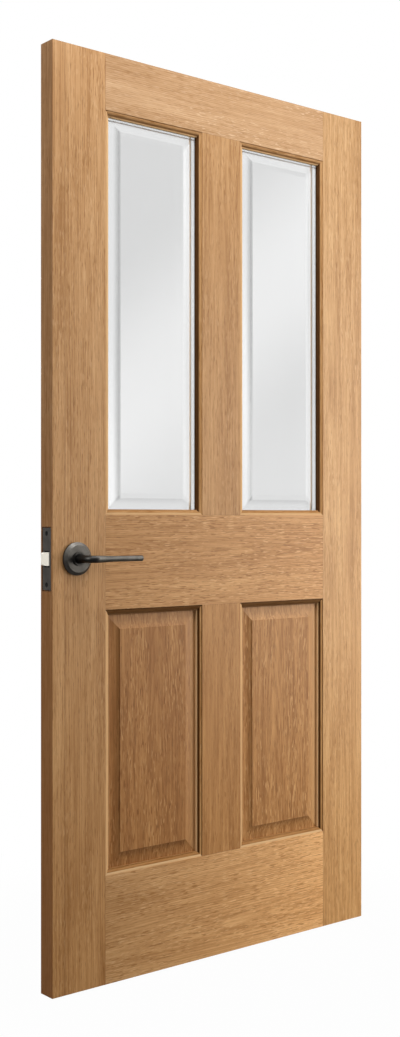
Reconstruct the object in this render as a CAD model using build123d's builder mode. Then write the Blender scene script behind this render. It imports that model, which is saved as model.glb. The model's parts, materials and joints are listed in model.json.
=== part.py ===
"""Glazed four-panel oak interior door leaf, with planted beads, sealed bevelled glass, levers and a latch.

Millimetres. X runs along the leaf from the lock edge (-leaf_width) to the hinge edge (0), Y from the front
face to the back face with 0 at mid-thickness, and Z up from the foot of the leaf.
"""
import os

from build123d import *

# Leaf and frame members
leaf_width = 915.0
leaf_height = 1981.0
leaf_thickness = 44.0
stile_width = 134.0
muntin_width = 113.0
top_rail_height = 120.0
lock_rail_height = 202.0
bottom_rail_height = 231.0
panel_opening_height = 566.0
arris_radius = 1.0

# Blind tenons of rails and muntins
tenon_thickness = 14.0
tenon_length = 25.0
tenon_inset = 18.0
tenon_side_clearance = 0.2
tenon_end_clearance = 1.5

# Planted bead: a quirk below the face, a flat, an ovolo, a lower flat and a drop to the glass or panel
bead_width = 12.0
bead_depth = 12.0
bead_quirk = 1.2
bead_top_flat = 1.0
bead_ovolo_width = 8.6
bead_ovolo_drop = 5.6
bead_ovolo_radius = 9.5

# Sealed glazing unit: two bevelled sheets on a spacer bar
pane_edge_clearance = 3.0
pane_land_thickness = 4.0
pane_bevel_width = 35.0
pane_bevel_rise = 2.0
spacer_edge_inset = 2.5

# Raised and fielded panel, with a hollow slope up to a small step round the field
panel_edge_clearance = 2.0
panel_slope_width = 31.0
panel_slope_rise = 4.6
panel_field_step = 0.8

# Latch: plate let into the lock edge, case in its mortice, sprung bolt
handle_height = 907.0
backset = 60.0
plate_width = 30.0
plate_height = 130.0
plate_thickness = 3.0
plate_fit = 0.9
plate_edge_chamfer = 0.8
plate_screw_spacing = 107.0
plate_screw_hole = 4.6
plate_screw_head = 8.6
case_thickness = 26.0
case_height = 84.0
case_behind_spindle = 22.0
case_fit = 0.5
case_spindle_hole = 18.0
bolt_width = 21.0
bolt_height = 28.0
bolt_throw = 7.0
bolt_lip = 1.2
bolt_tip_flat = 5.0
bolt_tail = 34.0
bolt_clearance = 0.4
bolt_opening_gap = 1.6
bolt_corner_radius = 2.4
bolt_nose_radius = 5.0
bolt_end_clearance = 2.0

# Lever handles on roses, one each side, on a square spindle
rose_diameter = 70.0
rose_thickness = 9.5
rose_rim_height = 4.4
rose_slope_width = 6.5
collar_diameter = 29.0
collar_height = 12.5
neck_diameter = 20.0
neck_clearance = 0.3
neck_seat_gap = 0.3
lever_standoff = 52.0
lever_bend_radius = 17.0
lever_length = 133.0
lever_bar_diameter = 15.5
lever_taper_length = 42.0
lever_tip_diameter = 12.4
lever_tip_chamfer = 1.2
spindle_size = 8.0
spindle_reach = 28.0
spindle_fit = 0.1
spindle_end_clearance = 1.0
spindle_bore = 24.0

# Places worked out from the sizes above
half_leaf = leaf_thickness / 2
leaf_middle_x = -leaf_width / 2
rail_length = leaf_width - 2 * stile_width
opening_width = (rail_length - muntin_width) / 2
left_opening_x = leaf_middle_x - (muntin_width + opening_width) / 2
right_opening_x = leaf_middle_x + (muntin_width + opening_width) / 2
lock_rail_foot = bottom_rail_height + panel_opening_height
lock_rail_top = lock_rail_foot + lock_rail_height
top_rail_foot = leaf_height - top_rail_height
glass_opening_height = top_rail_foot - lock_rail_top
panel_opening_z = bottom_rail_height + panel_opening_height / 2
glass_opening_z = lock_rail_top + glass_opening_height / 2
mortice_thickness = tenon_thickness + 2 * tenon_side_clearance
mortice_depth = tenon_length + tenon_end_clearance
infill_thickness = leaf_thickness - 2 * bead_depth
cavity_thickness = infill_thickness - 2 * pane_land_thickness
spindle_x = backset - leaf_width

# Each rail: the height of its foot and its own height
rails = {
    "top_rail": (top_rail_foot, top_rail_height),
    "lock_rail": (lock_rail_foot, lock_rail_height),
    "bottom_rail": (0.0, bottom_rail_height),
}
# Each muntin: the height of its foot and its length between shoulders
muntins = {
    "upper_muntin": (lock_rail_top, glass_opening_height),
    "lower_muntin": (bottom_rail_height, panel_opening_height),
}
# Each opening: the centre of it, its width and its height
glass_openings = {
    "left_glass": (left_opening_x, glass_opening_z, opening_width, glass_opening_height),
    "right_glass": (right_opening_x, glass_opening_z, opening_width, glass_opening_height),
}
panel_openings = {
    "left_panel": (left_opening_x, panel_opening_z, opening_width, panel_opening_height),
    "right_panel": (right_opening_x, panel_opening_z, opening_width, panel_opening_height),
}
# The way out of each face of the leaf
faces = {"front": Vector(0, -1, 0), "back": Vector(0, 1, 0)}

lock_edge = Plane(origin=(-leaf_width, 0, handle_height), x_dir=(0, -1, 0), z_dir=(-1, 0, 0))

os.makedirs("parts", exist_ok=True)


def save(piece, label):
    """Names a finished piece and writes it."""
    piece.part.label = label
    export_step(piece.part, f"parts/{label}.step")


def face_plane(out, x, z, depth):
    """The plane parallel to a face of the leaf, at a depth below it, looking out of that face."""
    return Plane(origin=out * (half_leaf - depth) + Vector(x, 0, z), x_dir=(1, 0, 0), z_dir=out)


def axial_plane(face):
    """The level plane through a face plane's normal: its x is along the leaf, its y out of the face."""
    return Plane(origin=face.origin, x_dir=face.x_dir, z_dir=face.x_dir.cross(face.z_dir))


def upright_plane(face):
    """The upright plane through a face plane's normal: its x is up the leaf, its y out of the face."""
    return Plane(origin=face.origin, x_dir=(0, 0, 1), z_dir=Vector(0, 0, 1).cross(face.z_dir))


def make_stile(label, middle_x, inner_x, lock):
    """A full-height stile with a mortice for each rail, and the latch's cuts on the lock side."""
    with BuildPart() as stile:
        with BuildSketch(Plane.XZ):
            with Locations((middle_x, leaf_height / 2)):
                Rectangle(stile_width, leaf_height)
        extrude(amount=half_leaf, both=True)
        outer_edges = stile.edges().filter_by(Axis.Z).sort_by(lambda edge: abs(edge.center().X - inner_x))[-2:]
        fillet(outer_edges, radius=arris_radius)
        with BuildSketch(Plane.XZ):
            for foot, height in rails.values():
                with Locations((inner_x, foot + height / 2)):
                    Rectangle(2 * mortice_depth, height - 2 * tenon_inset + 2 * tenon_side_clearance)
        extrude(amount=mortice_thickness / 2, both=True, mode=Mode.SUBTRACT)
        if lock:
            with BuildSketch(lock_edge):
                Rectangle(plate_width + 2 * plate_fit, plate_height + 2 * plate_fit)
            extrude(amount=-plate_thickness, mode=Mode.SUBTRACT)
            with BuildSketch(lock_edge):
                Rectangle(case_thickness + 2 * case_fit, case_height + 2 * case_fit)
            extrude(amount=-(backset + case_behind_spindle + case_fit), mode=Mode.SUBTRACT)
            with BuildSketch(Plane.XZ):
                with Locations((spindle_x, handle_height)):
                    Circle(spindle_bore / 2)
            extrude(amount=half_leaf, both=True, mode=Mode.SUBTRACT)
    save(stile, label)


def make_rail(label, foot, height):
    """A rail with a blind tenon at each end and a mortice where a muntin meets it."""
    with BuildPart() as rail:
        with BuildSketch(Plane.XZ):
            with Locations((leaf_middle_x, foot + height / 2)):
                Rectangle(rail_length, height)
        extrude(amount=half_leaf, both=True)
        with BuildSketch(Plane.XZ):
            with Locations((leaf_middle_x, foot + height / 2)):
                Rectangle(rail_length + 2 * tenon_length, height - 2 * tenon_inset)
        extrude(amount=tenon_thickness / 2, both=True)
        with BuildSketch(Plane.XZ):
            for muntin_foot, muntin_height in muntins.values():
                with Locations((leaf_middle_x, muntin_foot + muntin_height / 2)):
                    Rectangle(
                        muntin_width - 2 * tenon_inset + 2 * tenon_side_clearance,
                        muntin_height + 2 * mortice_depth,
                    )
        extrude(amount=mortice_thickness / 2, both=True, mode=Mode.SUBTRACT)
    save(rail, label)


def make_muntin(label, foot, height):
    """A muntin between two rails, with a blind tenon at each end."""
    with BuildPart() as muntin:
        with BuildSketch(Plane.XZ):
            with Locations((leaf_middle_x, foot + height / 2)):
                Rectangle(muntin_width, height)
        extrude(amount=half_leaf, both=True)
        with BuildSketch(Plane.XZ):
            with Locations((leaf_middle_x, foot + height / 2)):
                Rectangle(muntin_width - 2 * tenon_inset, height + 2 * tenon_length)
        extrude(amount=tenon_thickness / 2, both=True)
    save(muntin, label)


def make_bead(start, into, out, length):
    """One mitred bead: its section runs along a side of an opening and is cut at 45 degrees at both ends.

    In the section, x goes into the opening and y down from the face of the leaf.
    """
    section = Plane(origin=start, x_dir=into, z_dir=into.cross(-out))
    ovolo_end = (bead_top_flat + bead_ovolo_width, bead_quirk + bead_ovolo_drop)
    with BuildPart() as bead:
        with BuildSketch(section):
            with BuildLine():
                Polyline((0, bead_depth), (0, bead_quirk), (bead_top_flat, bead_quirk))
                RadiusArc((bead_top_flat, bead_quirk), ovolo_end, -bead_ovolo_radius)
                Polyline(
                    ovolo_end,
                    (bead_width, ovolo_end[1]),
                    (bead_width, bead_depth),
                    (0, bead_depth),
                )
            make_face()
        extrude(amount=length / 2, both=True)
        for run in (section.z_dir, -section.z_dir):
            split(bisect_by=Plane(origin=start + run * (length / 2), z_dir=run + into), keep=Keep.BOTTOM)
    return bead.part


def make_beads(label, centre_x, centre_z, width, height, out):
    """The four beads of one opening on one face: the level pair and the upright pair."""
    across = Vector(width / 2, 0, 0)
    up = Vector(0, 0, height / 2)
    middle = out * half_leaf + Vector(centre_x, 0, centre_z)
    for pair, reach, length in (("rail_beads", up, width), ("stile_beads", across, height)):
        pieces = [make_bead(middle + way, -way.normalized(), out, length) for way in (reach, -reach)]
        with BuildPart() as beads:
            add(pieces)
        save(beads, f"{label}_{pair}")


def make_pane(label, centre_x, centre_z, width, height, out):
    """One sheet of a glazing unit: a flat edge under the beads, then a hollow bevel up to the clear field.

    The sheet is what two sections have in common, one carried up the opening and one carried across it.
    """
    inner_face = face_plane(out, centre_x, centre_z, bead_depth + pane_land_thickness)
    field_height = pane_land_thickness + pane_bevel_rise
    with BuildPart() as pane:
        for section, span, run, mode in (
            (axial_plane(inner_face), width, height, Mode.ADD),
            (upright_plane(inner_face), height, width, Mode.INTERSECT),
        ):
            edge = span / 2 - pane_edge_clearance
            sight = span / 2 - bead_width
            field = sight - pane_bevel_width
            with BuildSketch(section):
                with BuildLine():
                    Polyline((0, 0), (edge, 0), (edge, pane_land_thickness), (sight, pane_land_thickness))
                    TangentArc((sight, pane_land_thickness), (field, field_height), tangent=(-1, 0))
                    Polyline((field, field_height), (0, field_height), (0, 0))
                make_face()
                mirror(about=Plane.YZ)
            extrude(amount=run / 2 - pane_edge_clearance, both=True, mode=mode)
    save(pane, label)


def make_spacer(label, centre_x, centre_z, width, height):
    """The spacer bar that parts the two sheets, its inner face in line with the beads."""
    spacer_margin = 2 * (pane_edge_clearance + spacer_edge_inset)
    with BuildPart() as spacer:
        with BuildSketch(Plane.XZ):
            with Locations((centre_x, centre_z)):
                Rectangle(width - spacer_margin, height - spacer_margin)
                Rectangle(width - 2 * bead_width, height - 2 * bead_width, mode=Mode.SUBTRACT)
        extrude(amount=cavity_thickness / 2, both=True)
    save(spacer, label)


def make_panel(label, centre_x, centre_z, width, height):
    """A panel raised and fielded on both faces, its flat margin held between the beads.

    The panel is what two sections have in common, one carried up the opening and one carried across it.
    """
    middle_face = face_plane(faces["front"], centre_x, centre_z, half_leaf)
    margin = infill_thickness / 2
    slope_top = margin + panel_slope_rise
    field_top = slope_top + panel_field_step
    with BuildPart() as panel:
        for section, span, run, mode in (
            (axial_plane(middle_face), width, height, Mode.ADD),
            (upright_plane(middle_face), height, width, Mode.INTERSECT),
        ):
            edge = span / 2 - panel_edge_clearance
            sight = span / 2 - bead_width
            field = sight - panel_slope_width
            with BuildSketch(section):
                with BuildLine():
                    Polyline((0, 0), (edge, 0), (edge, margin), (sight, margin))
                    TangentArc((sight, margin), (field, slope_top), tangent=(-1, 0))
                    Polyline((field, slope_top), (field, field_top), (0, field_top), (0, 0))
                make_face()
                mirror(about=Plane.YZ)
                mirror(about=Plane.XZ)
            extrude(amount=run / 2 - panel_edge_clearance, both=True, mode=mode)
    save(panel, label)


def make_rose(label, face):
    """A round rose turned from one profile: a rim, a slope, a flat face and a collar for the lever's neck."""
    bore_radius = neck_diameter / 2 + neck_clearance
    rose_radius = rose_diameter / 2
    with BuildPart() as rose:
        with BuildSketch(axial_plane(face)):
            with BuildLine():
                Polyline(
                    (bore_radius, 0),
                    (rose_radius, 0),
                    (rose_radius, rose_rim_height),
                    (rose_radius - rose_slope_width, rose_thickness),
                    (collar_diameter / 2, rose_thickness),
                    (collar_diameter / 2, collar_height),
                    (bore_radius, collar_height),
                    close=True,
                )
            make_face()
        revolve(axis=Axis(face.origin, face.z_dir))
    save(rose, label)


def make_lever(label, face):
    """A round lever: the neck stands out of the rose and narrows, bends to run level, tapers and ends in a tip."""
    section = axial_plane(face)
    bend_foot = lever_standoff - lever_bend_radius
    neck_radius = neck_diameter / 2
    bar_radius = lever_bar_diameter / 2
    tip_radius = lever_tip_diameter / 2
    bar_axis = Axis(face.origin + face.z_dir * lever_standoff, face.x_dir)
    with BuildPart() as lever:
        with BuildSketch(section):
            with BuildLine():
                Polyline(
                    (0, neck_seat_gap),
                    (neck_radius, neck_seat_gap),
                    (neck_radius, collar_height),
                    (bar_radius, bend_foot),
                    (0, bend_foot),
                    close=True,
                )
            make_face()
        revolve(axis=Axis(face.origin, face.z_dir))
        with BuildLine(section):
            RadiusArc((0, bend_foot), (lever_bend_radius, lever_standoff), lever_bend_radius)
        with BuildSketch(face.offset(bend_foot)):
            Circle(bar_radius)
        sweep()
        with BuildSketch(section):
            with BuildLine():
                Polyline(
                    (lever_bend_radius, lever_standoff),
                    (lever_bend_radius, lever_standoff + bar_radius),
                    (lever_bend_radius + lever_taper_length, lever_standoff + tip_radius),
                    (lever_length - lever_tip_chamfer, lever_standoff + tip_radius),
                    (lever_length, lever_standoff + tip_radius - lever_tip_chamfer),
                    (lever_length, lever_standoff),
                    close=True,
                )
            make_face()
        revolve(axis=bar_axis)
        with BuildSketch(face.offset(neck_seat_gap)):
            Rectangle(spindle_size + 2 * spindle_fit, spindle_size + 2 * spindle_fit)
        extrude(amount=spindle_reach + spindle_end_clearance - neck_seat_gap, mode=Mode.SUBTRACT)
    save(lever, label)


make_stile("lock_stile", stile_width / 2 - leaf_width, stile_width - leaf_width, lock=True)
make_stile("hinge_stile", -stile_width / 2, -stile_width, lock=False)

for rail_name, rail_sizes in rails.items():
    make_rail(rail_name, *rail_sizes)

for muntin_name, muntin_sizes in muntins.items():
    make_muntin(muntin_name, *muntin_sizes)

for opening_name, opening in (glass_openings | panel_openings).items():
    for face_name, way_out in faces.items():
        make_beads(f"{opening_name}_{face_name}", *opening, way_out)

for opening_name, opening in glass_openings.items():
    make_spacer(f"{opening_name}_spacer", *opening)
    for face_name, way_out in faces.items():
        make_pane(f"{opening_name}_{face_name}_pane", *opening, way_out)

for opening_name, opening in panel_openings.items():
    make_panel(opening_name, *opening)

for face_name, way_out in faces.items():
    handle_face = face_plane(way_out, spindle_x, handle_height, 0)
    make_rose(f"{face_name}_rose", handle_face)
    make_lever(f"{face_name}_lever", handle_face)

# The square spindle that joins the two levers
with BuildPart() as spindle:
    with BuildSketch(Plane.XZ):
        with Locations((spindle_x, handle_height)):
            Rectangle(spindle_size, spindle_size)
    extrude(amount=half_leaf + spindle_reach, both=True)
save(spindle, "spindle")

# The latch plate, flush in the lock edge, with an opening for the bolt and two countersunk holes
with BuildPart() as latch_plate:
    with BuildSketch(lock_edge):
        Rectangle(plate_width, plate_height)
        RectangleRounded(
            bolt_width + 2 * bolt_clearance,
            bolt_height + 2 * bolt_opening_gap,
            bolt_corner_radius + bolt_clearance,
            mode=Mode.SUBTRACT,
        )
    extrude(amount=-plate_thickness)
    outline = latch_plate.faces().sort_by(Axis.X)[0].outer_wire().edges()
    chamfer(outline, length=plate_edge_chamfer)
    with Locations(lock_edge):
        with GridLocations(0, plate_screw_spacing, 1, 2):
            CounterSinkHole(radius=plate_screw_hole / 2, counter_sink_radius=plate_screw_head / 2)
save(latch_plate, "latch_plate")

# The latch case behind the plate, with a guide for the bolt and a hole for the spindle
with BuildPart() as latch_case:
    with BuildSketch(lock_edge.offset(-plate_thickness)):
        Rectangle(case_thickness, case_height)
    extrude(amount=-(backset + case_behind_spindle - plate_thickness))
    with BuildSketch(lock_edge.offset(-plate_thickness)):
        RectangleRounded(
            bolt_width + 2 * bolt_clearance,
            bolt_height + 2 * bolt_clearance,
            bolt_corner_radius + bolt_clearance,
        )
    extrude(amount=-(bolt_tail + bolt_throw + bolt_end_clearance), mode=Mode.SUBTRACT)
    with BuildSketch(Plane.XZ):
        with Locations((spindle_x, handle_height)):
            Circle(case_spindle_hole / 2)
    extrude(amount=case_thickness, both=True, mode=Mode.SUBTRACT)
save(latch_case, "latch_case")

# The latch bolt: a rounded bar with a slope on its closing side and a nose rounded above and below
with BuildPart() as latch_bolt:
    with BuildSketch(lock_edge.offset(bolt_throw)):
        RectangleRounded(bolt_width, bolt_height, bolt_corner_radius)
    extrude(amount=-(bolt_throw + plate_thickness + bolt_tail))
    with BuildSketch(Plane.XY.offset(handle_height)):
        with BuildLine():
            Polyline(
                (-leaf_width - bolt_lip, -bolt_width / 2),
                (-leaf_width - bolt_throw, bolt_width / 2 - bolt_tip_flat),
                (-leaf_width - bolt_throw, -bolt_width / 2),
                close=True,
            )
        make_face()
    extrude(amount=bolt_height / 2, both=True, mode=Mode.SUBTRACT)
    nose_x = -leaf_width - bolt_throw
    tail_x = -leaf_width + plate_thickness + bolt_tail
    with BuildSketch(Plane.XZ):
        with Locations(((nose_x + tail_x) / 2, handle_height)):
            nose = Rectangle(tail_x - nose_x, bolt_height)
        fillet(nose.vertices().sort_by(Axis.X)[:2], radius=bolt_nose_radius)
    extrude(amount=bolt_width, both=True, mode=Mode.INTERSECT)
save(latch_bolt, "latch_bolt")
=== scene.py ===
"""Looks of the glazed oak door: its grain, bevelled glass, dark furniture and latch, lit as in a studio."""
import json
import math
from dataclasses import dataclass

import bpy
import numpy as np
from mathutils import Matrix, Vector


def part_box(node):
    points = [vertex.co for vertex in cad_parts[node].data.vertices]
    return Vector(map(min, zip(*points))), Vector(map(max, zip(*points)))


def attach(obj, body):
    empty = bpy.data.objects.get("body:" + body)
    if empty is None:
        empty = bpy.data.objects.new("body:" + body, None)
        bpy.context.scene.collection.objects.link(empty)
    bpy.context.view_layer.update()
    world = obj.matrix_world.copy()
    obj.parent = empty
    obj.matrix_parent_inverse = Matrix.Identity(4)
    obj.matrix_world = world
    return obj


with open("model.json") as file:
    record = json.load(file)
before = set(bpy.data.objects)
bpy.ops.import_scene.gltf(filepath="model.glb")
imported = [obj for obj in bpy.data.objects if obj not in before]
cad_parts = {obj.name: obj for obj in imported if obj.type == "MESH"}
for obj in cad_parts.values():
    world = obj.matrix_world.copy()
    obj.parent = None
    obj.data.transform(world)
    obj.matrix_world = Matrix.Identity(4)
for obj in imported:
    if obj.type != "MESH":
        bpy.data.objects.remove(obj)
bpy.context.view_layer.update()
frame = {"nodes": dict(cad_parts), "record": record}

# The picture and its camera, in pixels of the 400 by 1037 frame and in metres
PHOTO_HEIGHT = 1037
FOCAL_LENGTH_PX = 1342.4
SENSOR_MM = 36.0
CAMERA_BESIDE_LOCK_EDGE = 1.5205
CAMERA_OFF_FACE = 2.334
CAMERA_TURN = math.radians(39.36)
CAMERA_OVER_MIDDLE = 0.0008

# Places on the leaf, read from the frame
LEAF_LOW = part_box("lock_stile")[0]
LEAF_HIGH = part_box("hinge_stile")[1]
LOCK_EDGE_X = LEAF_LOW.x
FRONT_Y = LEAF_LOW.y
LEAF_MIDDLE_Z = (LEAF_LOW.z + LEAF_HIGH.z) / 2
PLATE_LOW, PLATE_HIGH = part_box("latch_plate")
PLATE_MIDDLE = (PLATE_LOW + PLATE_HIGH) / 2
BOLT_LOW, BOLT_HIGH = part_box("latch_bolt")
BOLT_MIDDLE = (BOLT_LOW + BOLT_HIGH) / 2
SPINDLE_AXIS = sum(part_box("spindle"), Vector()) / 2

# Latch plate screws, in metres, and the sharpness of the walls of their recess, per metre
SCREW_SPACING = 0.107
SCREW_HEAD_RADIUS = 0.0041
SCREW_HEAD_DROP = 0.0003
SCREW_HEAD_DEPTH = 0.0019
SCREW_DOME = 0.0004
SCREW_RECESS_WIDTH = 0.0011
SCREW_RECESS_REACH = 0.0026
SCREW_RECESS_DEPTH = 0.0009
SCREW_ARM_SHARPNESS = 24000
SCREW_REACH_SHARPNESS = 12000
SCREW_RINGS = 22
SCREW_SIDES = 96


class Value:
    """A socket that takes part in Python arithmetic: each operator adds one Math node."""

    def __init__(self, finish, socket):
        self.finish = finish
        self.socket = socket

    def math(self, operation, *others):
        sockets = dict(enumerate((self, *others)))
        return self.finish.node("ShaderNodeMath", {"operation": operation}, sockets)

    def __add__(self, other):
        return self.math("ADD", other)

    __radd__ = __add__

    def __sub__(self, other):
        return self.math("SUBTRACT", other)

    def __rsub__(self, other):
        return self.finish.node("ShaderNodeMath", {"operation": "SUBTRACT"}, {0: other, 1: self})

    def __mul__(self, other):
        return self.math("MULTIPLY", other)

    __rmul__ = __mul__

    def __truediv__(self, other):
        return self.math("DIVIDE", other)

    def root(self):
        return self.math("SQRT")

    def fraction(self):
        return self.math("FRACT")

    def size(self):
        return self.math("ABSOLUTE")

    def higher(self, other):
        return self.math("MAXIMUM", other)

    def lower(self, other):
        return self.math("MINIMUM", other)

    def swing(self, reach):
        """Goes from minus half the reach at 0 to half the reach at 1."""
        return (self - 0.5) * reach

    def step(self, low, high):
        """Rises smoothly from 0 at low to 1 at high."""
        settings = {"interpolation_type": "SMOOTHSTEP"}
        sockets = {"Value": self, "From Min": low, "From Max": high}
        return self.finish.node("ShaderNodeMapRange", settings, sockets)

    def edge(self, place, blur):
        """Rises smoothly from 0 to 1 at a place, over the blur on each side of it."""
        return self.step(place - blur, place + blur)


def diagonal(a, b):
    """The root of the sum of two squares."""
    return (a * a + b * b).root()


def opaque(colour):
    """A colour's three parts with a full alpha; a link stays as it is."""
    return colour if isinstance(colour, Value) else (*colour, 1.0)


class Finish:
    """A node tree being written, with one method that adds any node."""

    def __init__(self, tree):
        self.tree = tree
        tree.nodes.clear()

    def node(self, kind, settings=None, sockets=None, output=0):
        """Adds a node: its settings first, then the numbers, colours or links of its sockets."""
        made = self.tree.nodes.new(kind)
        for name, setting in (settings or {}).items():
            if name == "stops":
                self.set_stops(made.color_ramp, setting)
            else:
                setattr(made, name, setting)
        for name, value in (sockets or {}).items():
            if isinstance(value, Value):
                self.tree.links.new(value.socket, made.inputs[name])
            else:
                made.inputs[name].default_value = value
        return Value(self, made.outputs[output])

    @staticmethod
    def set_stops(ramp, stops):
        while len(ramp.elements) < len(stops):
            ramp.elements.new(1.0)
        for element, (position, colour) in zip(ramp.elements, stops):
            element.position = position
            element.color = opaque(colour)

    def place(self):
        """Where a point lies, in Object coordinates."""
        return self.node("ShaderNodeTexCoord", output="Object")

    def split(self, vector):
        """The three parts of a vector."""
        parts = self.node("ShaderNodeSeparateXYZ", sockets={0: vector})
        return [Value(self, socket) for socket in parts.socket.node.outputs]

    def join(self, x, y, z):
        return self.node("ShaderNodeCombineXYZ", sockets={0: x, 1: y, 2: z})

    def noise(self, place, scale=1.0, detail=2.0, roughness=0.5):
        """Fractal noise from 0 to 1 at a place."""
        sockets = {"Vector": place, "Scale": scale, "Detail": detail, "Roughness": roughness}
        return self.node("ShaderNodeTexNoise", {"noise_dimensions": "3D"}, sockets)

    def blend(self, factor, colour_a, colour_b):
        """Goes from one colour at 0 to another at 1."""
        settings = {"data_type": "RGBA", "blend_type": "MIX", "clamp_factor": True}
        sockets = {0: factor, 6: opaque(colour_a), 7: opaque(colour_b)}
        return self.node("ShaderNodeMix", settings, sockets, output=2)

    def scaled(self, colour, factor):
        """A colour times a number."""
        return self.node("ShaderNodeVectorMath", {"operation": "SCALE"}, {0: colour, "Scale": factor})

    def bump(self, height, strength, distance):
        """A normal turned by a height, whose full depth is the distance in metres."""
        sockets = {"Strength": strength, "Distance": distance, "Height": height}
        return self.node("ShaderNodeBump", sockets=sockets)

    def surface(self, sockets):
        """Ends the tree with one surface."""
        self.close(self.node("ShaderNodeBsdfPrincipled", sockets=sockets))

    def close(self, shader, kind="ShaderNodeOutputMaterial"):
        """Joins the finished shader to the output of the tree."""
        made = self.tree.nodes.new(kind)
        self.tree.links.new(shader.socket, made.inputs["Surface"])


def new_finish(name):
    """An empty material and the writer of its nodes."""
    material = bpy.data.materials.new(name)
    material.use_nodes = True
    return material, Finish(material.node_tree)


# The sloped border of a sheet: the blur of its inner edge, as a share of its width, and those of its mitres
# and of the middle lines between opposite sides, in metres
FIELD_BLUR = 0.015
MITRE_BLUR = 0.0003
MIDLINE_BLUR = 0.0005


class Border:
    """The sloped border inside the sight size of a sheet: how far in a point lies, and on which side.

    inward goes from 0 at the sight edge to 1 at the field, and each side is 1 on its own slope, cut at the
    mitres. At head and foot the border is only its level share as wide as at the sides. above_foot is the
    height over the lower sight edge, in full widths.
    """

    def __init__(self, x, z, low, high, cover, width, level_share=1.0):
        left = x - (low.x + cover)
        right = (high.x - cover) - x
        foot = z - (low.z + cover)
        head = (high.z - cover) - z
        across = left.lower(right)
        upright = foot.lower(head) / level_share
        self.above_foot = foot / width
        self.inward = across.lower(upright) / width
        self.within = 1.0 - self.inward.edge(1.0, FIELD_BLUR)
        on_uprights = self.within * (upright - across).edge(0.0, MITRE_BLUR)
        on_levels = self.within - on_uprights
        self.left = on_uprights * (right - left).edge(0.0, MIDLINE_BLUR)
        self.right = on_uprights - self.left
        self.foot = on_levels * (head - foot).edge(0.0, MIDLINE_BLUR)
        self.head = on_levels - self.foot


# Oak, in linear colour: the straw of early wood, the middle tone, the brown of late wood, and what marks them:
# pores and joints with painted shade, ray flecks with painted light, painted light, painted shade, and the
# darker red of the lock edge towards its foot
OAK_PALE = (0.62, 0.350, 0.152)
OAK_MIDDLE = (0.485, 0.250, 0.096)
OAK_BROWN = (0.335, 0.152, 0.047)
OAK_PORE_AND_PAINTED_SHADE = (0.150, 0.062, 0.018)
OAK_RAY_AND_PAINTED_LIGHT = (0.690, 0.425, 0.210)
OAK_PAINTED_LIGHT = (0.86, 0.58, 0.31)
OAK_PAINTED_SHADE = (0.046, 0.0130, 0.0015)
OAK_EDGE_FOOT = (0.23, 0.074, 0.010)

# The lacquer: the strength of its gloss, its roughness, and the relief of the fibre and pores under it
OAK_GLOSS = 0.20
BEAD_GLOSS = 0.02
OAK_ROUGHNESS = 0.42
FIBRE_ROUGHNESS = 0.16
FIBRE_RELIEF = 0.35
PORE_RELIEF = 0.8

# Painted light: the oak is painted cooler towards the head and warmer towards the foot, as cool light from
# above
# would make it: the change of green and blue per metre of height
PAINTED_COOL_LIGHT_GREEN = 0.04
PAINTED_COOL_LIGHT_BLUE = 0.14


@dataclass
class Layer:
    """A layer of the oak's noise, drawn out along the grain.

    along and across are cells per metre, and offset sets the layer apart from the others. octaves and
    roughness are the noise's own. cut is the range of the noise that is stretched from 0 to 1, if any is.
    """

    along: float
    across: float
    offset: float
    octaves: float = 1.0
    roughness: float = 0.5
    cut: tuple = None


GRAIN = {
    "broad": Layer(1.1, 16.0, 11.0, octaves=2.0),
    "wander": Layer(2.2, 9.0, 23.0),
    "streak": Layer(5.0, 230.0, 31.0, octaves=3.0, roughness=0.65),
    "figure": Layer(3.5, 48.0, 37.0, octaves=2.0),
    "clusters": Layer(4.0, 24.0, 97.0, cut=(0.26, 0.58)),
    "dashes": Layer(34.0, 320.0, 43.0, cut=(0.58, 0.66)),
    "flecks": Layer(38.0, 360.0, 67.0, cut=(0.59, 0.66)),
    "ribs": Layer(7.0, 130.0, 53.0),
    "fibre": Layer(55.0, 1100.0, 47.0, octaves=2.0),
    "pores": Layer(48.0, 620.0, 59.0, cut=(0.58, 0.72)),
    "patches": Layer(3.0, 11.0, 83.0, cut=(0.42, 0.62)),
    "rays": Layer(58.0, 330.0, 71.0, cut=(0.60, 0.72)),
}
BOARD_OFFSET = 3.7

# How far each layer swings the tone between brown at 0 and pale at 1, and how strong the marks on it are
TONE_SWINGS = {"streak": 1.2, "ribs": 0.8, "figure": 0.7, "broad": 0.8, "fibre": 0.4}
LATE_WOOD_SWING = 0.2
DASH_DEPTH = 0.5
PORE_DEPTH = 0.5
FLECK_DEPTH = 0.40

# Growth rings: metres from one to the next, their wander across the grain, how many of them the broad layer
# shifts, the parts of a ring where late wood begins and ends, and how far it closes the pores
RING_PITCH = 0.0036
RING_WANDER = 0.012
RING_SHIFT = 1.5
LATE_WOOD_RISE = (0.15, 0.85)
LATE_WOOD_FALL = (0.90, 1.0)
LATE_WOOD_CLOSING = 0.75

# Joints: how far a tenon goes in, the lipping of the lock edge and the shift of its grain, and a joint's line
TENON_LENGTH = 0.025
LIPPING_WIDTH = 0.031
LIPPING_BLUR = 0.0001
LIPPING_SHIFT = 0.41
JOINT_WIDTH = 0.0010
JOINT_DEPTH = 0.75

# The lock edge: how deep and strong its painted shade is, the heights over which it grows darker and redder
# towards its foot and by how much, and the painted shadow in the gap round the latch plate
LOCK_EDGE_DEPTH = (0.0002, 0.0010)
LOCK_EDGE_SHADE = 0.51
EDGE_FOOT_HEIGHTS = (0.1, 1.5)
EDGE_FOOT_DARKENING = 0.55
PLATE_GAP = (0.0014, 0.0032)
PLATE_GAP_SHADE = 0.92

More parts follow.
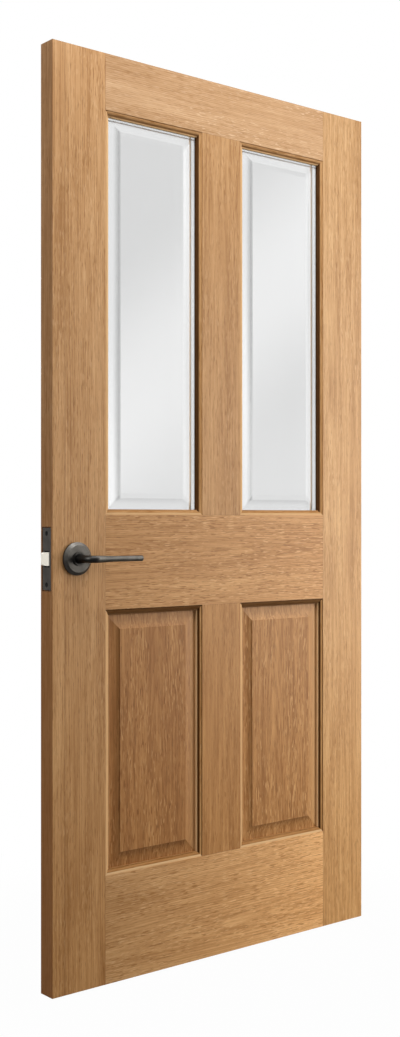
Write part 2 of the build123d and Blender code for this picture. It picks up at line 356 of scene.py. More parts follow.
# A panel's slopes: the beads' cover, the slope's width, the painted shade of the hollows by the field, and the
# painted light on the other parts
PANEL_COVER = 0.010
SLOPE_WIDTH = 0.031
HOLLOW_REACH = (0.40, 1.0)
LEFT_HOLLOW_SHADE = 0.36
FOOT_HOLLOW_SHADE = 0.40
HEAD_PALE = 0.2
RIGHT_PALE = 0.24
RIGHT_OUTER_PALE = 0.45
RIGHT_OUTER_REACH = (0.1, 0.6)
LEFT_OUTER_PALE = 0.45
LEFT_OUTER_REACH = (0.05, 0.30)

# Lines of painted light and shade along a bead, in metres from its outer edge, and the blurs that part the two
# faces and a pair's beads; then the painted shade in the near bead's quirk and the painted light on the shaded
# bead's lip
BEAD_QUIRK = (0.0012, 0.0026)
BEAD_RIM = 0.0048
BEAD_RIM_BLUR = 0.0006
BEAD_LIP = (0.0070, 0.0090)
BEAD_BAND_BLUR = 0.0008
BEAD_FACE_BLUR = 0.001
BEAD_PAIR_BLUR = 0.01
NEAR_QUIRK = 0.15
SHADED_LIP = 0.60
SHADED_LIP_BLUR = 0.001


@dataclass
class BeadShade:
    """Painted light and shade on a pair of beads, as strengths from 0 to 1.

    The first field is the painted light over the left or lower bead, lip and rim that on its inner and outer
    edges, and brown the painted shade that deepens its tone. On the right or upper bead, quirk is the painted
    shade of a dark line along its outer edge, and shade that of a band from one distance to another from that
    edge.
    """

    painted_light: float
    lip: float
    rim: float
    brown: float
    quirk: float
    shade: float
    band: tuple


BEAD_SHADES = {
    ("glass", "upright"): BeadShade(painted_light=0.28, lip=0.4, rim=0.0, brown=0.0, quirk=0.15, shade=0.91,
                                    band=(0.0074, 0.02)),
    ("glass", "level"): BeadShade(painted_light=0.0, lip=0.0, rim=0.45, brown=0.27, quirk=0.35, shade=0.52,
                                  band=(0.0066, 0.0094)),
    ("panel", "upright"): BeadShade(painted_light=0.38, lip=0.1, rim=0.0, brown=0.0, quirk=0.9, shade=0.92,
                                    band=(0.0060, 0.0095)),
    ("panel", "level"): BeadShade(painted_light=0.0, lip=0.0, rim=0.65, brown=0.46, quirk=0.85, shade=0.75,
                                  band=(0.0002, 0.02)),
}


@dataclass
class Board:
    """How one board was sawn, and what is worked on it.

    grain is the way it runs, and heart is where the heart of the tree lay across the board, below its middle
    by heart_depth and leaning by lean. tone and hue are its colour, which grows by drift per metre along the
    grain. streak, dash and rays are the strengths of its figure.
    """

    grain: str
    heart: float
    heart_depth: float = 0.12
    lean: float = 0.0
    tone: float = 1.0
    hue: tuple = (1.0, 1.0, 1.0)
    drift: float = 0.0
    streak: float = 1.0
    dash: float = 0.8
    rays: float = 0.3
    tenons: bool = False
    lipping: bool = False
    fielded: bool = False
    bead: BeadShade = None

    def tinted(self, colour):
        """A colour of the oak, in this board's tone."""
        return [part * (self.tone * share) for part, share in zip(colour, self.hue)]


# Hues of the boards, as shares of red, green and blue
RUDDY = (1.0, 0.910, 0.755)
UMBER = (0.975, 0.835, 0.65)
RUSSET = (1.0, 0.955, 0.88)
FAIR = (1.0, 1.05, 1.08)
PINKISH = (0.96, 1.05, 1.25)
BUFF = (1.0, 1.06, 1.17)
TAWNY = (1.0, 0.99, 0.96)

BOARDS = {
    "lock_stile": Board("upright", heart=0.30, heart_depth=0.16, lean=0.004, tone=0.935, lipping=True),
    "hinge_stile": Board("upright", heart=-0.26, heart_depth=0.14, lean=-0.003, tone=1.08, hue=FAIR,
                         drift=-0.08),
    "top_rail": Board("level", heart=0.16, heart_depth=0.10, lean=0.01, tone=1.05, hue=PINKISH, drift=0.06,
                      streak=0.6, dash=0.5, rays=0.6, tenons=True),
    "lock_rail": Board("level", heart=0.02, heart_depth=0.06, lean=0.03, tone=0.955, hue=RUSSET, drift=0.25,
                       dash=1.9, rays=0.55, tenons=True),
    "bottom_rail": Board("level", heart=-0.05, heart_depth=0.08, lean=-0.02, tone=1.26, hue=BUFF, drift=0.66,
                         streak=0.7, dash=1.2, rays=0.4, tenons=True),
    "upper_muntin": Board("upright", heart=0.20, heart_depth=0.10, lean=0.004, tone=0.890, hue=TAWNY,
                          dash=0.9, tenons=True),
    "lower_muntin": Board("upright", heart=-0.18, heart_depth=0.10, lean=-0.005, tone=0.84, hue=RUDDY,
                          tenons=True),
    "left_panel": Board("upright", heart=0.01, heart_depth=0.055, lean=0.05, tone=0.735, hue=UMBER,
                        streak=1.3, dash=2.2, rays=0.15, fielded=True),
    "right_panel": Board("upright", heart=-0.02, heart_depth=0.06, lean=0.045, tone=0.865, hue=RUDDY,
                         streak=1.3, dash=2.0, rays=0.15, fielded=True),
}


def board_of(node):
    """The board that a wooden node was cut from."""
    if node in BOARDS:
        return BOARDS[node]
    grain = "upright" if node.endswith("stile_beads") else "level"
    infill = "glass" if "_glass_" in node else "panel"
    return Board(grain, heart=0.2, streak=0.8, rays=0.1, bead=BEAD_SHADES[infill, grain])


def shade_painted_lock_edge(finish, colour, x, y, z):
    """The lock edge of the leaf: painted shade all over it, darker and redder towards its foot, and a painted
    shadow, almost black, in the gap round the latch plate.

    The painted shadow fades by a smooth step of the larger of two distances: past the plate's sides and past
    its ends.
    """
    edge = 1.0 - (x - LOCK_EDGE_X).step(*LOCK_EDGE_DEPTH)
    # Painted shade on the lock edge
    colour = finish.blend(edge * LOCK_EDGE_SHADE, colour, OAK_PAINTED_SHADE)
    # Darker and redder towards the foot
    colour = finish.blend(edge * (1.0 - z.step(*EDGE_FOOT_HEIGHTS)) * EDGE_FOOT_DARKENING, colour, OAK_EDGE_FOOT)
    # Painted shadow in the gap round the latch plate
    past_sides = y.size() - PLATE_HIGH.y
    past_ends = (z - PLATE_MIDDLE.z).size() - (PLATE_HIGH.z - PLATE_MIDDLE.z)
    gap = 1.0 - past_sides.higher(past_ends).step(*PLATE_GAP)
    return finish.blend(edge * gap * PLATE_GAP_SHADE, colour, OAK_PAINTED_SHADE)


def shaded_fielding(finish, colour, board, border):
    """A panel's slopes, with painted shade and painted light.

    Painted shade darkens the hollows by the field at left and foot. Painted light lightens the head and right
    slopes and the outer part of the left one.
    """
    # Painted shade in the hollows by the field
    hollow_shade = border.left * LEFT_HOLLOW_SHADE + border.foot * FOOT_HOLLOW_SHADE
    colour = finish.blend(hollow_shade * border.inward.step(*HOLLOW_REACH), colour, board.tinted(OAK_PORE_AND_PAINTED_SHADE))
    # Painted light on the head and right slopes and on the outer left
    right_outer = 1.0 - border.inward.step(*RIGHT_OUTER_REACH)
    left_outer = 1.0 - border.inward.step(*LEFT_OUTER_REACH)
    pale = border.head * HEAD_PALE + border.right * (RIGHT_PALE + right_outer * RIGHT_OUTER_PALE)
    pale = pale + border.left * left_outer * LEFT_OUTER_PALE
    return finish.blend(pale, colour, board.tinted(OAK_RAY_AND_PAINTED_LIGHT))


def shade_painted_beads(finish, colour, bead, across, half_width, y):
    """A pair of beads: painted light on the left or lower one, and painted shade in dark lines on the front of
    the right or upper one.

    The lines go by the distance from the outer edge: half the pair's width less the distance from its middle.
    """
    inward = half_width - across.size()
    shaded = across.edge(0.0, BEAD_PAIR_BLUR) * (1.0 - y.edge(0.0, BEAD_FACE_BLUR))
    near = 1.0 - shaded
    quirk = 1.0 - inward.step(*BEAD_QUIRK)
    lip = inward.step(*BEAD_LIP)
    rim = 1.0 - inward.edge(BEAD_RIM, BEAD_RIM_BLUR)
    begins, ends = bead.band
    band = inward.edge(begins, BEAD_BAND_BLUR) - inward.edge(ends, BEAD_BAND_BLUR)
    beyond_band = inward.step(ends, ends + SHADED_LIP_BLUR)
    # Painted shade deepens the near bead's tone
    colour = finish.blend(near * bead.brown, colour, OAK_PORE_AND_PAINTED_SHADE)
    # Painted light on the near bead and its lip
    colour = finish.blend(near * (bead.painted_light + lip * bead.lip), colour, OAK_PAINTED_LIGHT)
    # Painted light on the near bead's rim, or else painted shade in its quirk
    if bead.rim:
        colour = finish.blend(near * rim * bead.rim, colour, OAK_PAINTED_LIGHT)
    else:
        colour = finish.blend(near * quirk * NEAR_QUIRK, colour, OAK_PORE_AND_PAINTED_SHADE)
    # Painted shade in dark lines on the shaded bead
    colour = finish.blend(shaded * quirk * bead.quirk, colour, OAK_PAINTED_SHADE)
    colour = finish.blend(shaded * band * bead.shade, colour, OAK_PAINTED_SHADE)
    # Painted light on the shaded bead's lip
    return finish.blend(shaded * beyond_band * SHADED_LIP, colour, OAK_PAINTED_LIGHT)


def oak(name, board, low, high, seed):
    """Solid lacquered oak: growth rings about a leaning heart, fibre streaks, pores and ray flecks.

    With a along the grain, c across it and d through the board from its middle, the distance from the heart
    is sqrt((c - heart)^2 + (d + heart_depth + lean a)^2). A ring is that distance over the pitch, less its
    whole part. The tone is one half plus the swings of the layers, and it picks a colour from brown to pale.
    """
    material, finish = new_finish(name)
    middle = (low + high) / 2
    half = (high - low) / 2
    x, y, z = finish.split(finish.place())
    along, across, half_length, half_width = x - middle.x, z - middle.z, half.x, half.z
    if board.grain == "upright":
        along, across, half_length, half_width = across, along, half_width, half_length
    depth = y - middle.y
    seam = None
    if board.tenons:
        seam = (along.size() - (half_length - TENON_LENGTH)).size()
    if board.lipping:
        inside = x - (LOCK_EDGE_X + LIPPING_WIDTH)
        seam = inside.size()
        across = across + inside.edge(0.0, LIPPING_BLUR) * LIPPING_SHIFT

    def laid(layer):
        """A layer of noise along this board's grain."""
        spot_along = along * layer.along + (BOARD_OFFSET * seed + layer.offset)
        spot = finish.join(spot_along, across * layer.across + layer.offset, depth * layer.across)
        noise = finish.noise(spot, detail=layer.octaves, roughness=layer.roughness)
        return noise.step(*layer.cut) if layer.cut else noise

    grain = {key: laid(layer) for key, layer in GRAIN.items()}
    swing = {key: grain[key].swing(reach) for key, reach in TONE_SWINGS.items()}
    from_heart = across - board.heart + grain["wander"].swing(RING_WANDER)
    below = depth + along * board.lean + board.heart_depth
    ring = (diagonal(from_heart, below) / RING_PITCH + grain["broad"] * RING_SHIFT).fraction()
    late_wood = ring.step(*LATE_WOOD_RISE) - ring.step(*LATE_WOOD_FALL)
    dashes = grain["dashes"] * grain["clusters"]
    flecks = grain["flecks"] * grain["clusters"]
    rays = grain["rays"] * grain["patches"]
    pores = grain["pores"] * (1.0 - late_wood * LATE_WOOD_CLOSING)

    level = 0.5 + (swing["streak"] + swing["ribs"] + swing["figure"]) * board.streak
    level = level + swing["broad"] - dashes * (DASH_DEPTH * board.dash)
    level = level + swing["fibre"] + late_wood.swing(LATE_WOOD_SWING)
    stops = [(0.0, board.tinted(OAK_BROWN)), (0.5, board.tinted(OAK_MIDDLE)), (1.0, board.tinted(OAK_PALE))]
    colour = finish.node("ShaderNodeValToRGB", {"stops": stops}, {0: level})
    colour = finish.blend(pores * (PORE_DEPTH * board.streak), colour, OAK_PORE_AND_PAINTED_SHADE)
    colour = finish.blend(flecks * (FLECK_DEPTH * board.dash), colour, board.tinted(OAK_RAY_AND_PAINTED_LIGHT))
    colour = finish.blend(rays * board.rays, colour, board.tinted(OAK_RAY_AND_PAINTED_LIGHT))
    if board.drift:
        colour = finish.scaled(colour, 1.0 + along * board.drift)
    # Painted light: cooler towards the head, warmer towards the foot
    above_middle = z - LEAF_MIDDLE_Z
    painted_cool_light = finish.join(1.0, 1.0 + above_middle * PAINTED_COOL_LIGHT_GREEN, 1.0 + above_middle * PAINTED_COOL_LIGHT_BLUE)
    colour = finish.node("ShaderNodeVectorMath", {"operation": "MULTIPLY"}, {0: colour, 1: painted_cool_light})
    if seam is not None:
        colour = finish.blend((1.0 - seam.step(0.0, JOINT_WIDTH)) * JOINT_DEPTH, colour, OAK_PORE_AND_PAINTED_SHADE)
    if board.lipping:
        colour = shade_painted_lock_edge(finish, colour, x, y, z)
    if board.fielded:
        border = Border(x, z, low, high, PANEL_COVER, SLOPE_WIDTH)
        colour = shaded_fielding(finish, colour, board, border)
    if board.bead:
        colour = shade_painted_beads(finish, colour, board.bead, across, half_width, y)
    relief = grain["fibre"] * FIBRE_RELIEF - pores * PORE_RELIEF
    finish.surface({
        "Base Color": colour,
        "Roughness": OAK_ROUGHNESS + grain["fibre"] * FIBRE_ROUGHNESS,
        "Normal": finish.bump(relief, strength=0.22, distance=0.0004),
        "Specular IOR Level": BEAD_GLOSS if board.bead else OAK_GLOSS,
    })
    return material


# Glass: its body colour and bending of light, how far a bead covers a sheet, the width of its bevel, and the
# share of that width that is shaded at head and foot
GLASS_BODY = (0.835, 0.837, 0.837)
GLASS_IOR = 1.5
PANE_COVER = 0.009
BEVEL_WIDTH = 0.035
LEVEL_BEVEL_SHARE = 0.70

# Painted light that each bevel adds to the body colour, the painted shade that the inner parts of two take
# away, and the range of both
BEVEL_LIGHT_RIGHT = 0.18
BEVEL_LIGHT_HEAD = 0.16
BEVEL_LIGHT_LEFT = 0.18
BEVEL_LIGHT_FOOT = 0.07
BEVEL_INNER_REACH = (0.42, 1.0)
BEVEL_FALL_LEFT = 0.50
BEVEL_FALL_FOOT = 0.11
REST_OF_FOOT_LIGHT = 0.08
REST_OF_FOOT_BLUR = 0.04
BEVEL_RANGE = (0.60, 1.18)

# Roughness of every bevel, and what the right and head ones have beyond it
BEVEL_ROUGHNESS = 0.12
BEVEL_GROUND = 0.05


def clear_glass(name, low=None, high=None):
    """Clear polished glass with a faint grey body, with painted light and shade on its bevels if the sheet's
    corners are given.

    With d the distance from the nearest side of the sight size, over the bevel's width, painted shade darkens
    the left bevel from its outer side to its inner one by a smooth step of d. The foot bevel has less of it,
    and the head and right ones have painted light. The part of the foot bevel above its shaded share has
    painted light too, so that its inner edge doesn't show.
    """
    material, finish = new_finish(name)
    body, rough = opaque(GLASS_BODY), 0.0
    if low is not None:
        x, y, z = finish.split(finish.place())
        border = Border(x, z, low, high, PANE_COVER, BEVEL_WIDTH, LEVEL_BEVEL_SHARE)
        inner = border.inward.step(*BEVEL_INNER_REACH)
        rest_of_foot = (1.0 - border.within) * (1.0 - border.above_foot.edge(1.0, REST_OF_FOOT_BLUR))
        # Painted light and shade on the bevels
        shade = 1.0 + border.right * BEVEL_LIGHT_RIGHT + border.head * BEVEL_LIGHT_HEAD
        shade = shade + border.left * (BEVEL_LIGHT_LEFT - inner * BEVEL_FALL_LEFT)
        shade = shade + border.foot * (BEVEL_LIGHT_FOOT - inner * BEVEL_FALL_FOOT)
        shade = shade + rest_of_foot * REST_OF_FOOT_LIGHT
        lowest, highest = BEVEL_RANGE
        dark, pale = ([part * end for part in GLASS_BODY] for end in BEVEL_RANGE)
        body = finish.blend((shade - lowest) / (highest - lowest), dark, pale)
        rough = border.within * BEVEL_ROUGHNESS + (border.right + border.head) * BEVEL_GROUND
    finish.surface({"Base Color": body, "Roughness": rough, "IOR": GLASS_IOR, "Transmission Weight": 1.0})
    return material


# Metals and nylon, in linear colour, each from its dark clouds to its pale ones
HANDLE_BRONZE = ((0.063, 0.058, 0.051), (0.098, 0.090, 0.080))
PLATE_BRONZE = ((0.078, 0.071, 0.065), (0.105, 0.096, 0.087))
SCREW_BLACK = ((0.012, 0.012, 0.012), (0.02, 0.02, 0.02))
BRIGHT_STEEL = ((0.448, 0.448, 0.456), (0.56, 0.56, 0.57))
ALUMINIUM = ((0.90, 0.90, 0.90), (0.96, 0.96, 0.96))
CREAM = ((0.94, 0.88, 0.76), (0.98, 0.94, 0.84))
BRONZE_CLOUDS = (0.3, 0.75)

# Where the furniture is painted black as shade or shadow, in metres: from the spindle's axis, past the bolt's
# ends and sides, from a screw's axis, and behind the lock edge
COLLAR_FADE = (0.009, 0.019)
COLLAR_SHADE = 0.75
BOLT_END_FADE = (0.00256, 0.0032)
BOLT_SIDE_FADE = (0.0, 0.0008)
SCREW_WELL_FADE = (0.0048, 0.0056)
OPENING_SHADE = 0.94
CASE_FADE = (0.004, 0.010)
PAINTED_SHADE_BLACK = (0.01, 0.01, 0.01)
PAINTED_SHADOW_BLACK = (0.004, 0.004, 0.004)


def neck_painted_shade(x, y, z):
    """How black the painted shade on the handle is: most in the lever's neck, fading with the distance from
    the spindle's axis.
    """
    off_axis = diagonal(x - SPINDLE_AXIS.x, z - SPINDLE_AXIS.z)
    # Painted shade in the lever's neck
    return (1.0 - off_axis.step(*COLLAR_FADE)) * COLLAR_SHADE


def opening_painted_shadow(x, y, z):
    """How black the painted shadow on the latch plate is: just above and below the bolt, and in the two screw
    wells.

    The first is a product of smooth steps past the bolt's ends and sides, the second a step of the distance
    from the nearer screw's axis.
    """
    past_ends = (z - BOLT_MIDDLE.z).size() - (BOLT_HIGH.z - BOLT_MIDDLE.z)
    past_sides = (y - BOLT_MIDDLE.y).size() - (BOLT_HIGH.y - BOLT_MIDDLE.y)
    at_bolt = (1.0 - past_ends.step(*BOLT_END_FADE)) * (1.0 - past_sides.step(*BOLT_SIDE_FADE))
    off_screw = diagonal((z - PLATE_MIDDLE.z).size() - SCREW_SPACING / 2, y)
    # Painted shadow above and below the bolt and in the screw wells
    return at_bolt.higher(1.0 - off_screw.step(*SCREW_WELL_FADE)) * OPENING_SHADE


def dark_metal(name, bronze, roughness, blackness=None, black=PAINTED_SHADE_BLACK):
    """Dark bronzed metal: a patchy satin finish with a fine grit.

    It is painted black, as shade or shadow, where its blackness says so.
    """
    material, finish = new_finish(name)
    place = finish.place()
    clouds = finish.noise(place, scale=55.0, detail=4.0, roughness=0.6)
    grit = finish.noise(place, scale=2600.0, detail=1.0)
    colour = finish.blend(clouds.step(*BRONZE_CLOUDS), *bronze)
    if blackness:
        # Painted black shade or shadow
        colour = finish.blend(blackness(*finish.split(place)), colour, black)
    finish.surface({
        "Base Color": colour,
        "Metallic": 1.0,
        "Roughness": roughness + clouds.swing(0.18) + grit.swing(0.06),
        "Normal": finish.bump(grit, strength=0.08, distance=0.0001),
    })
    return material


def plain_steel(name):
    """Rolled bright metal with upright drawn lines.

    Where it shows behind the latch plate it has a painted black shadow.
    """
    material, finish = new_finish(name)
    x, y, z = finish.split(finish.place())
    lines = finish.noise(finish.join(x * 900.0, y * 900.0, z * 30.0))
    colour = finish.blend(lines, *BRIGHT_STEEL)
    # Painted shadow behind the latch plate
    colour = finish.blend((x - LOCK_EDGE_X).step(*CASE_FADE), PAINTED_SHADE_BLACK, colour)
    finish.surface({"Base Color": colour, "Metallic": 1.0, "Roughness": 0.35 + lines.swing(0.2)})
    return material


def spacer_bar(name):
    """The bright aluminium of the bar between two panes, a little cloudy."""
    material, finish = new_finish(name)
    clouds = finish.noise(finish.place(), scale=240.0)
    colour = finish.blend(clouds, *ALUMINIUM)
    finish.surface({"Base Color": colour, "Metallic": 1.0, "Roughness": 0.22 + clouds.swing(0.1)})
    return material


def cream_nylon(name):
    """Moulded cream nylon, a little cloudy, with a fine moulded texture."""
    material, finish = new_finish(name)
    place = finish.place()
    clouds = finish.noise(place, scale=180.0, detail=3.0)
    skin = finish.noise(place, scale=3200.0, detail=1.0)
    finish.surface({
        "Base Color": finish.blend(clouds, *CREAM),
        "Roughness": 0.38 + clouds.swing(0.1),
        "Normal": finish.bump(skin, strength=0.10, distance=0.0001),
    })
    return material


def dress_nodes():
    """Gives every CAD node its finish, each oak piece its own board and each front pane its own bevels."""
    shared = {
        "clear_glass": clear_glass("clear_glass"),
        "dark_handle_metal": dark_metal("dark_handle_metal", HANDLE_BRONZE, 0.38, neck_painted_shade),
        "dark_latch_plate": dark_metal("dark_latch_plate", PLATE_BRONZE, 0.46, opening_painted_shadow, PAINTED_SHADOW_BLACK),
        "plain_steel": plain_steel("plain_steel"),
        "spacer_aluminium": spacer_bar("spacer_aluminium"),
        "cream_nylon": cream_nylon("cream_nylon"),
    }
    slots = {row["node"]: row["material_slot"] for row in frame["record"]["subparts"]}
    for seed, node in enumerate(sorted(frame["nodes"]), start=1):
        low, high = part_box(node)
        if node.endswith("_front_pane"):
            material = clear_glass(f"clear_{node}", low, high)
        elif slots[node] in shared:
            material = shared[slots[node]]
        else:
            material = oak(f"oak_{node}", board_of(node), low, high, seed)
        materials = frame["nodes"][node].data.materials
        materials.clear()
        materials.append(material)


def grid_mesh(name, points, closed_across=False):
    """A mesh from an array of points, rows by columns by 3; the columns close into a ring if asked."""
    rows, columns = points.shape[:2]
    index = np.arange(rows * columns).reshape(rows, columns)
    if closed_across:
        index = np.concatenate([index, index[:, :1]], axis=1)
    corners = [index[:-1, :-1], index[:-1, 1:], index[1:, 1:], index[1:, :-1]]
    faces = np.stack(corners, axis=-1).reshape(-1, 4)
    mesh = bpy.data.meshes.new(name)
    mesh.from_pydata(points.reshape(-1, 3).tolist(), [], faces.tolist())
    piece = bpy.data.objects.new(name, mesh)
    bpy.context.scene.collection.objects.link(piece)
    return piece


def screw_head(name, place, turn):
    """A countersunk screw head that faces -X, with a cross recess.

    The top is x(r, t) = dome (1 - (r / R)^2) less the recess, which has its depth where a point lies within
    half the recess width of either arm and inside the reach, each by a logistic step. The cone below it closes
    to a point on the axis.
    """
    top = np.linspace(0.0, 1.0, SCREW_RINGS) * SCREW_HEAD_RADIUS
    radii = np.concatenate([top, [SCREW_HEAD_RADIUS, 0.0]])
    angles = np.linspace(0.0, 2 * np.pi, SCREW_SIDES, endpoint=False)
    r, t = np.meshgrid(radii, angles, indexing="ij")
    arm = np.minimum(np.abs(r * np.cos(t)), np.abs(r * np.sin(t)))
    beyond_arm = 1 + np.exp((arm - SCREW_RECESS_WIDTH / 2) * SCREW_ARM_SHARPNESS)
    beyond_reach = 1 + np.exp((r - SCREW_RECESS_REACH) * SCREW_REACH_SHARPNESS)
    recess = 1 / beyond_arm / beyond_reach
    height = SCREW_DOME * (1 - (r / SCREW_HEAD_RADIUS) ** 2) - SCREW_RECESS_DEPTH * recess
    height[-2] = -SCREW_HEAD_DROP
    height[-1] = -SCREW_HEAD_DEPTH
    points = np.stack([-height, r * np.cos(t + turn), r * np.sin(t + turn)], axis=-1) + np.array(place)
    piece = grid_mesh(name, points, closed_across=True)
    piece.data.shade_smooth()
    return piece


def add_screws(material):
    """The two screws that hold the latch plate, each stopped at its own turn."""
    for name, side, turn in (("latch_screw_upper", 1, 0.35), ("latch_screw_lower", -1, 1.05)):
        height = PLATE_MIDDLE.z + side * SCREW_SPACING / 2
        screw = screw_head(name, (PLATE_LOW.x + SCREW_HEAD_DROP, PLATE_MIDDLE.y, height), turn)
        screw.data.materials.append(material)
        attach(screw, "leaf")


def ray_kinds(finish):
    """Three flags, each 1 or 0: a ray from the camera, a ray off gloss and a ray through glass."""
    rays = finish.node("ShaderNodeLightPath").socket.node.outputs
    return [Value(finish, rays[f"Is {kind} Ray"]) for kind in ("Camera", "Glossy", "Transmission")]


WHITE = (1.0, 1.0, 1.0)

# The floor: half its width, its drop below the leaf and the tone that light falls on, then how white it looks
# near the leaf and in gloss, the middle of the shadow, and the distances over which it fades
FLOOR_REACH = 30.0
FLOOR_GAP = 0.006
FLOOR_TONE = (0.28, 0.28, 0.275)
FLOOR_NEAR_WHITE = 0.98
FLOOR_GLOSS_WHITE = 0.05
SHADOW_MIDDLE_X = -0.5
SHADOW_FADE = (0.5, 1.1)


def add_floor():
    """A wide pale floor that keeps a faint shadow near the leaf and runs out to white."""
    reach = np.linspace(-FLOOR_REACH, FLOOR_REACH, 3)
    x, y = np.meshgrid(reach, reach, indexing="ij")
    floor = grid_mesh("floor", np.stack([x, y, np.full_like(x, LEAF_LOW.z - FLOOR_GAP)], axis=-1))
    material, finish = new_finish("pale_floor")
    camera, glossy, through = ray_kinds(finish)
    x, y, z = finish.split(finish.place())
    away = diagonal(x - SHADOW_MIDDLE_X, y).step(*SHADOW_FADE)
    seen = FLOOR_NEAR_WHITE + away * (1.0 - FLOOR_NEAR_WHITE)
    white = camera.higher(through) * seen + glossy * FLOOR_GLOSS_WHITE
    pale = finish.node("ShaderNodeBsdfDiffuse", sockets={"Color": opaque(FLOOR_TONE)})
    glow = finish.node("ShaderNodeEmission", sockets={"Color": opaque(WHITE), "Strength": 1.0})
    finish.close(finish.node("ShaderNodeMixShader", sockets={0: white, 1: pale, 2: glow}))
    floor.data.materials.append(material)


def linked(name, endings, state):
    """The nodes with one of these endings, as a collection for a lamp.

    The lamp leaves them out if the state is EXCLUDE, and lights only them if it is INCLUDE.
    """
    pieces = bpy.data.collections.new(name)
    for node in sorted(frame["nodes"]):
        if node.endswith(endings):
            pieces.objects.link(frame["nodes"][node])
    for member in pieces.collection_objects:
        member.light_linking.link_state = state
    return pieces


def add_lamp(name, place, target, size, watts, lit, colour=WHITE):
    """A soft rectangular lamp at a place, turned to a target, with the pieces it lights or leaves out."""
    light = bpy.data.lights.new(name, "AREA")
    light.shape = "RECTANGLE"
    light.size, light.size_y = size
    light.energy = watts
    light.color = colour
    lamp = bpy.data.objects.new(name, light)
    lamp.location = place
    lamp.rotation_euler = (Vector(target) - Vector(place)).to_track_quat("-Z", "Y").to_euler()
    lamp.visible_camera = False
    lamp.visible_transmission = False
    lamp.light_linking.receiver_collection = lit
    bpy.context.scene.collection.objects.link(lamp)


WARM = (1.0, 0.985, 0.96)
COOL = (0.96, 1.0, 1.06)


def light_leaf():
    """Four lamps round the leaf that the panes don't mirror, and one that grazes the back glass beads."""
    all_but_panes = linked("panes", "_pane", "EXCLUDE")
    back_beads = ("_glass_back_rail_beads", "_glass_back_stile_beads")
    only_back_beads = linked("back_glass_beads", back_beads, "INCLUDE")
    add_lamp("key_lamp", place=(1.50, -1.50, 1.15), target=(-0.45, 0.0, 1.0), size=(1.0, 1.8), watts=58.0,
             lit=all_but_panes, colour=WARM)
    add_lamp("edge_lamp", place=(-2.9, -0.2, 1.95), target=(-0.915, 0.0, 1.25), size=(0.8, 1.4), watts=35.0,
             lit=all_but_panes)
    add_lamp("top_lamp", place=(-0.80, -0.75, 3.15), target=(-0.5, 0.0, 1.2), size=(1.2, 0.7), watts=40.0,
             lit=all_but_panes, colour=COOL)
    add_lamp("back_lamp", place=(0.5, 2.6, 2.0), target=(-0.45, 0.0, 1.0), size=(1.2, 1.6), watts=75.0,
             lit=all_but_panes)
    add_lamp("bead_lamp", place=(-2.5, 0.30, 0.75), target=(-0.45, 0.0, 1.4), size=(0.4, 1.2), watts=30.0,
             lit=only_back_beads)


# A pale band across the room that the panes mirror: the way to its middle, its slope and its half widths
BAND_TURN = math.radians(37.3)
BAND_RISE = math.radians(6.0)
BAND_SLOPE = 0.78
BAND_CORE = math.radians(0.5)
BAND_REACH = math.radians(6.5)

# Strengths of the room that gloss sees, and the turns and rises between which its parts begin
ROOM_BASE = 0.1
ROOM_BAND = 3.1
ROOM_RIGHT = 1.6
ROOM_LEFT = 0.7
ROOM_OVERHEAD = 1.6
ROOM_LOW = 1.1
RIGHT_TURN = (math.radians(20), math.radians(75))
LEFT_TURN = (math.radians(-20), math.radians(-60))
OVERHEAD_RISE = (math.radians(18), math.radians(40))
LOW_RISE = (math.radians(1), math.radians(8))

# The low even light that falls on the leaf from all round
EVEN_LIGHT = (1.0, 0.99, 0.97)
EVEN_STRENGTH = 0.12


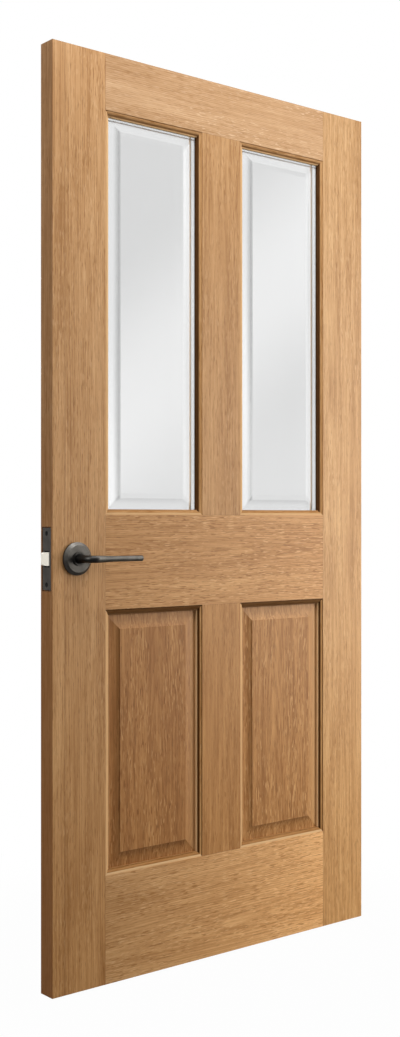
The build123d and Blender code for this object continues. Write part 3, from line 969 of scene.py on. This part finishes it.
def light_world():
    """White for what is seen directly or through glass, a graded room in gloss, and a low even light else.

    In gloss the room is brighter to the right of the leaf's normal, overhead and low down, a little brighter
    to the left, and crossed by a sloping pale band: a smooth step of the rise less the band's rise there.
    """
    world = bpy.data.worlds.new("studio")
    world.use_nodes = True
    finish = Finish(world.node_tree)
    camera, glossy, through = ray_kinds(finish)
    x, y, z = finish.split(finish.node("ShaderNodeTexCoord", output="Generated"))
    turn = x.math("ARCTAN2", y.size())
    rise = z.math("ARCSINE")
    across_band = rise - (turn - BAND_TURN) * BAND_SLOPE - BAND_RISE
    band = 1.0 - across_band.size().step(BAND_CORE, BAND_REACH)
    tone = ROOM_BASE + turn.step(*RIGHT_TURN) * ROOM_RIGHT + turn.step(*LEFT_TURN) * ROOM_LEFT
    tone = tone + rise.step(*OVERHEAD_RISE) * ROOM_OVERHEAD + (1.0 - rise.step(*LOW_RISE)) * ROOM_LOW
    tone = tone + band * ROOM_BAND

    def light_from(colour, strength):
        """A background of one colour."""
        sockets = {"Color": opaque(colour), "Strength": strength}
        return finish.node("ShaderNodeBackground", sockets=sockets)

    even = light_from(EVEN_LIGHT, EVEN_STRENGTH)
    white = light_from(WHITE, 1.0)
    room = light_from(WHITE, tone)
    mixed = finish.node("ShaderNodeMixShader", sockets={0: glossy, 1: even, 2: room})
    mixed = finish.node("ShaderNodeMixShader", sockets={0: camera.higher(through), 1: mixed, 2: white})
    finish.close(mixed, "ShaderNodeOutputWorld")
    bpy.context.scene.world = world


def add_camera():
    """A level camera at the photograph's place beside and in front of the lock edge."""
    data = bpy.data.cameras.new("camera")
    data.sensor_width = SENSOR_MM
    data.lens = SENSOR_MM * FOCAL_LENGTH_PX / PHOTO_HEIGHT
    camera = bpy.data.objects.new("camera", data)
    camera.location = (
        LOCK_EDGE_X - CAMERA_BESIDE_LOCK_EDGE,
        FRONT_Y - CAMERA_OFF_FACE,
        LEAF_MIDDLE_Z + CAMERA_OVER_MIDDLE,
    )
    camera.rotation_euler = (math.pi / 2, 0.0, -CAMERA_TURN)
    bpy.context.scene.collection.objects.link(camera)
    bpy.context.scene.camera = camera


dress_nodes()
add_screws(dark_metal("black_screw", SCREW_BLACK, 0.5))
add_floor()
light_leaf()
light_world()
add_camera()
bpy.context.scene.view_settings.view_transform = "Standard"
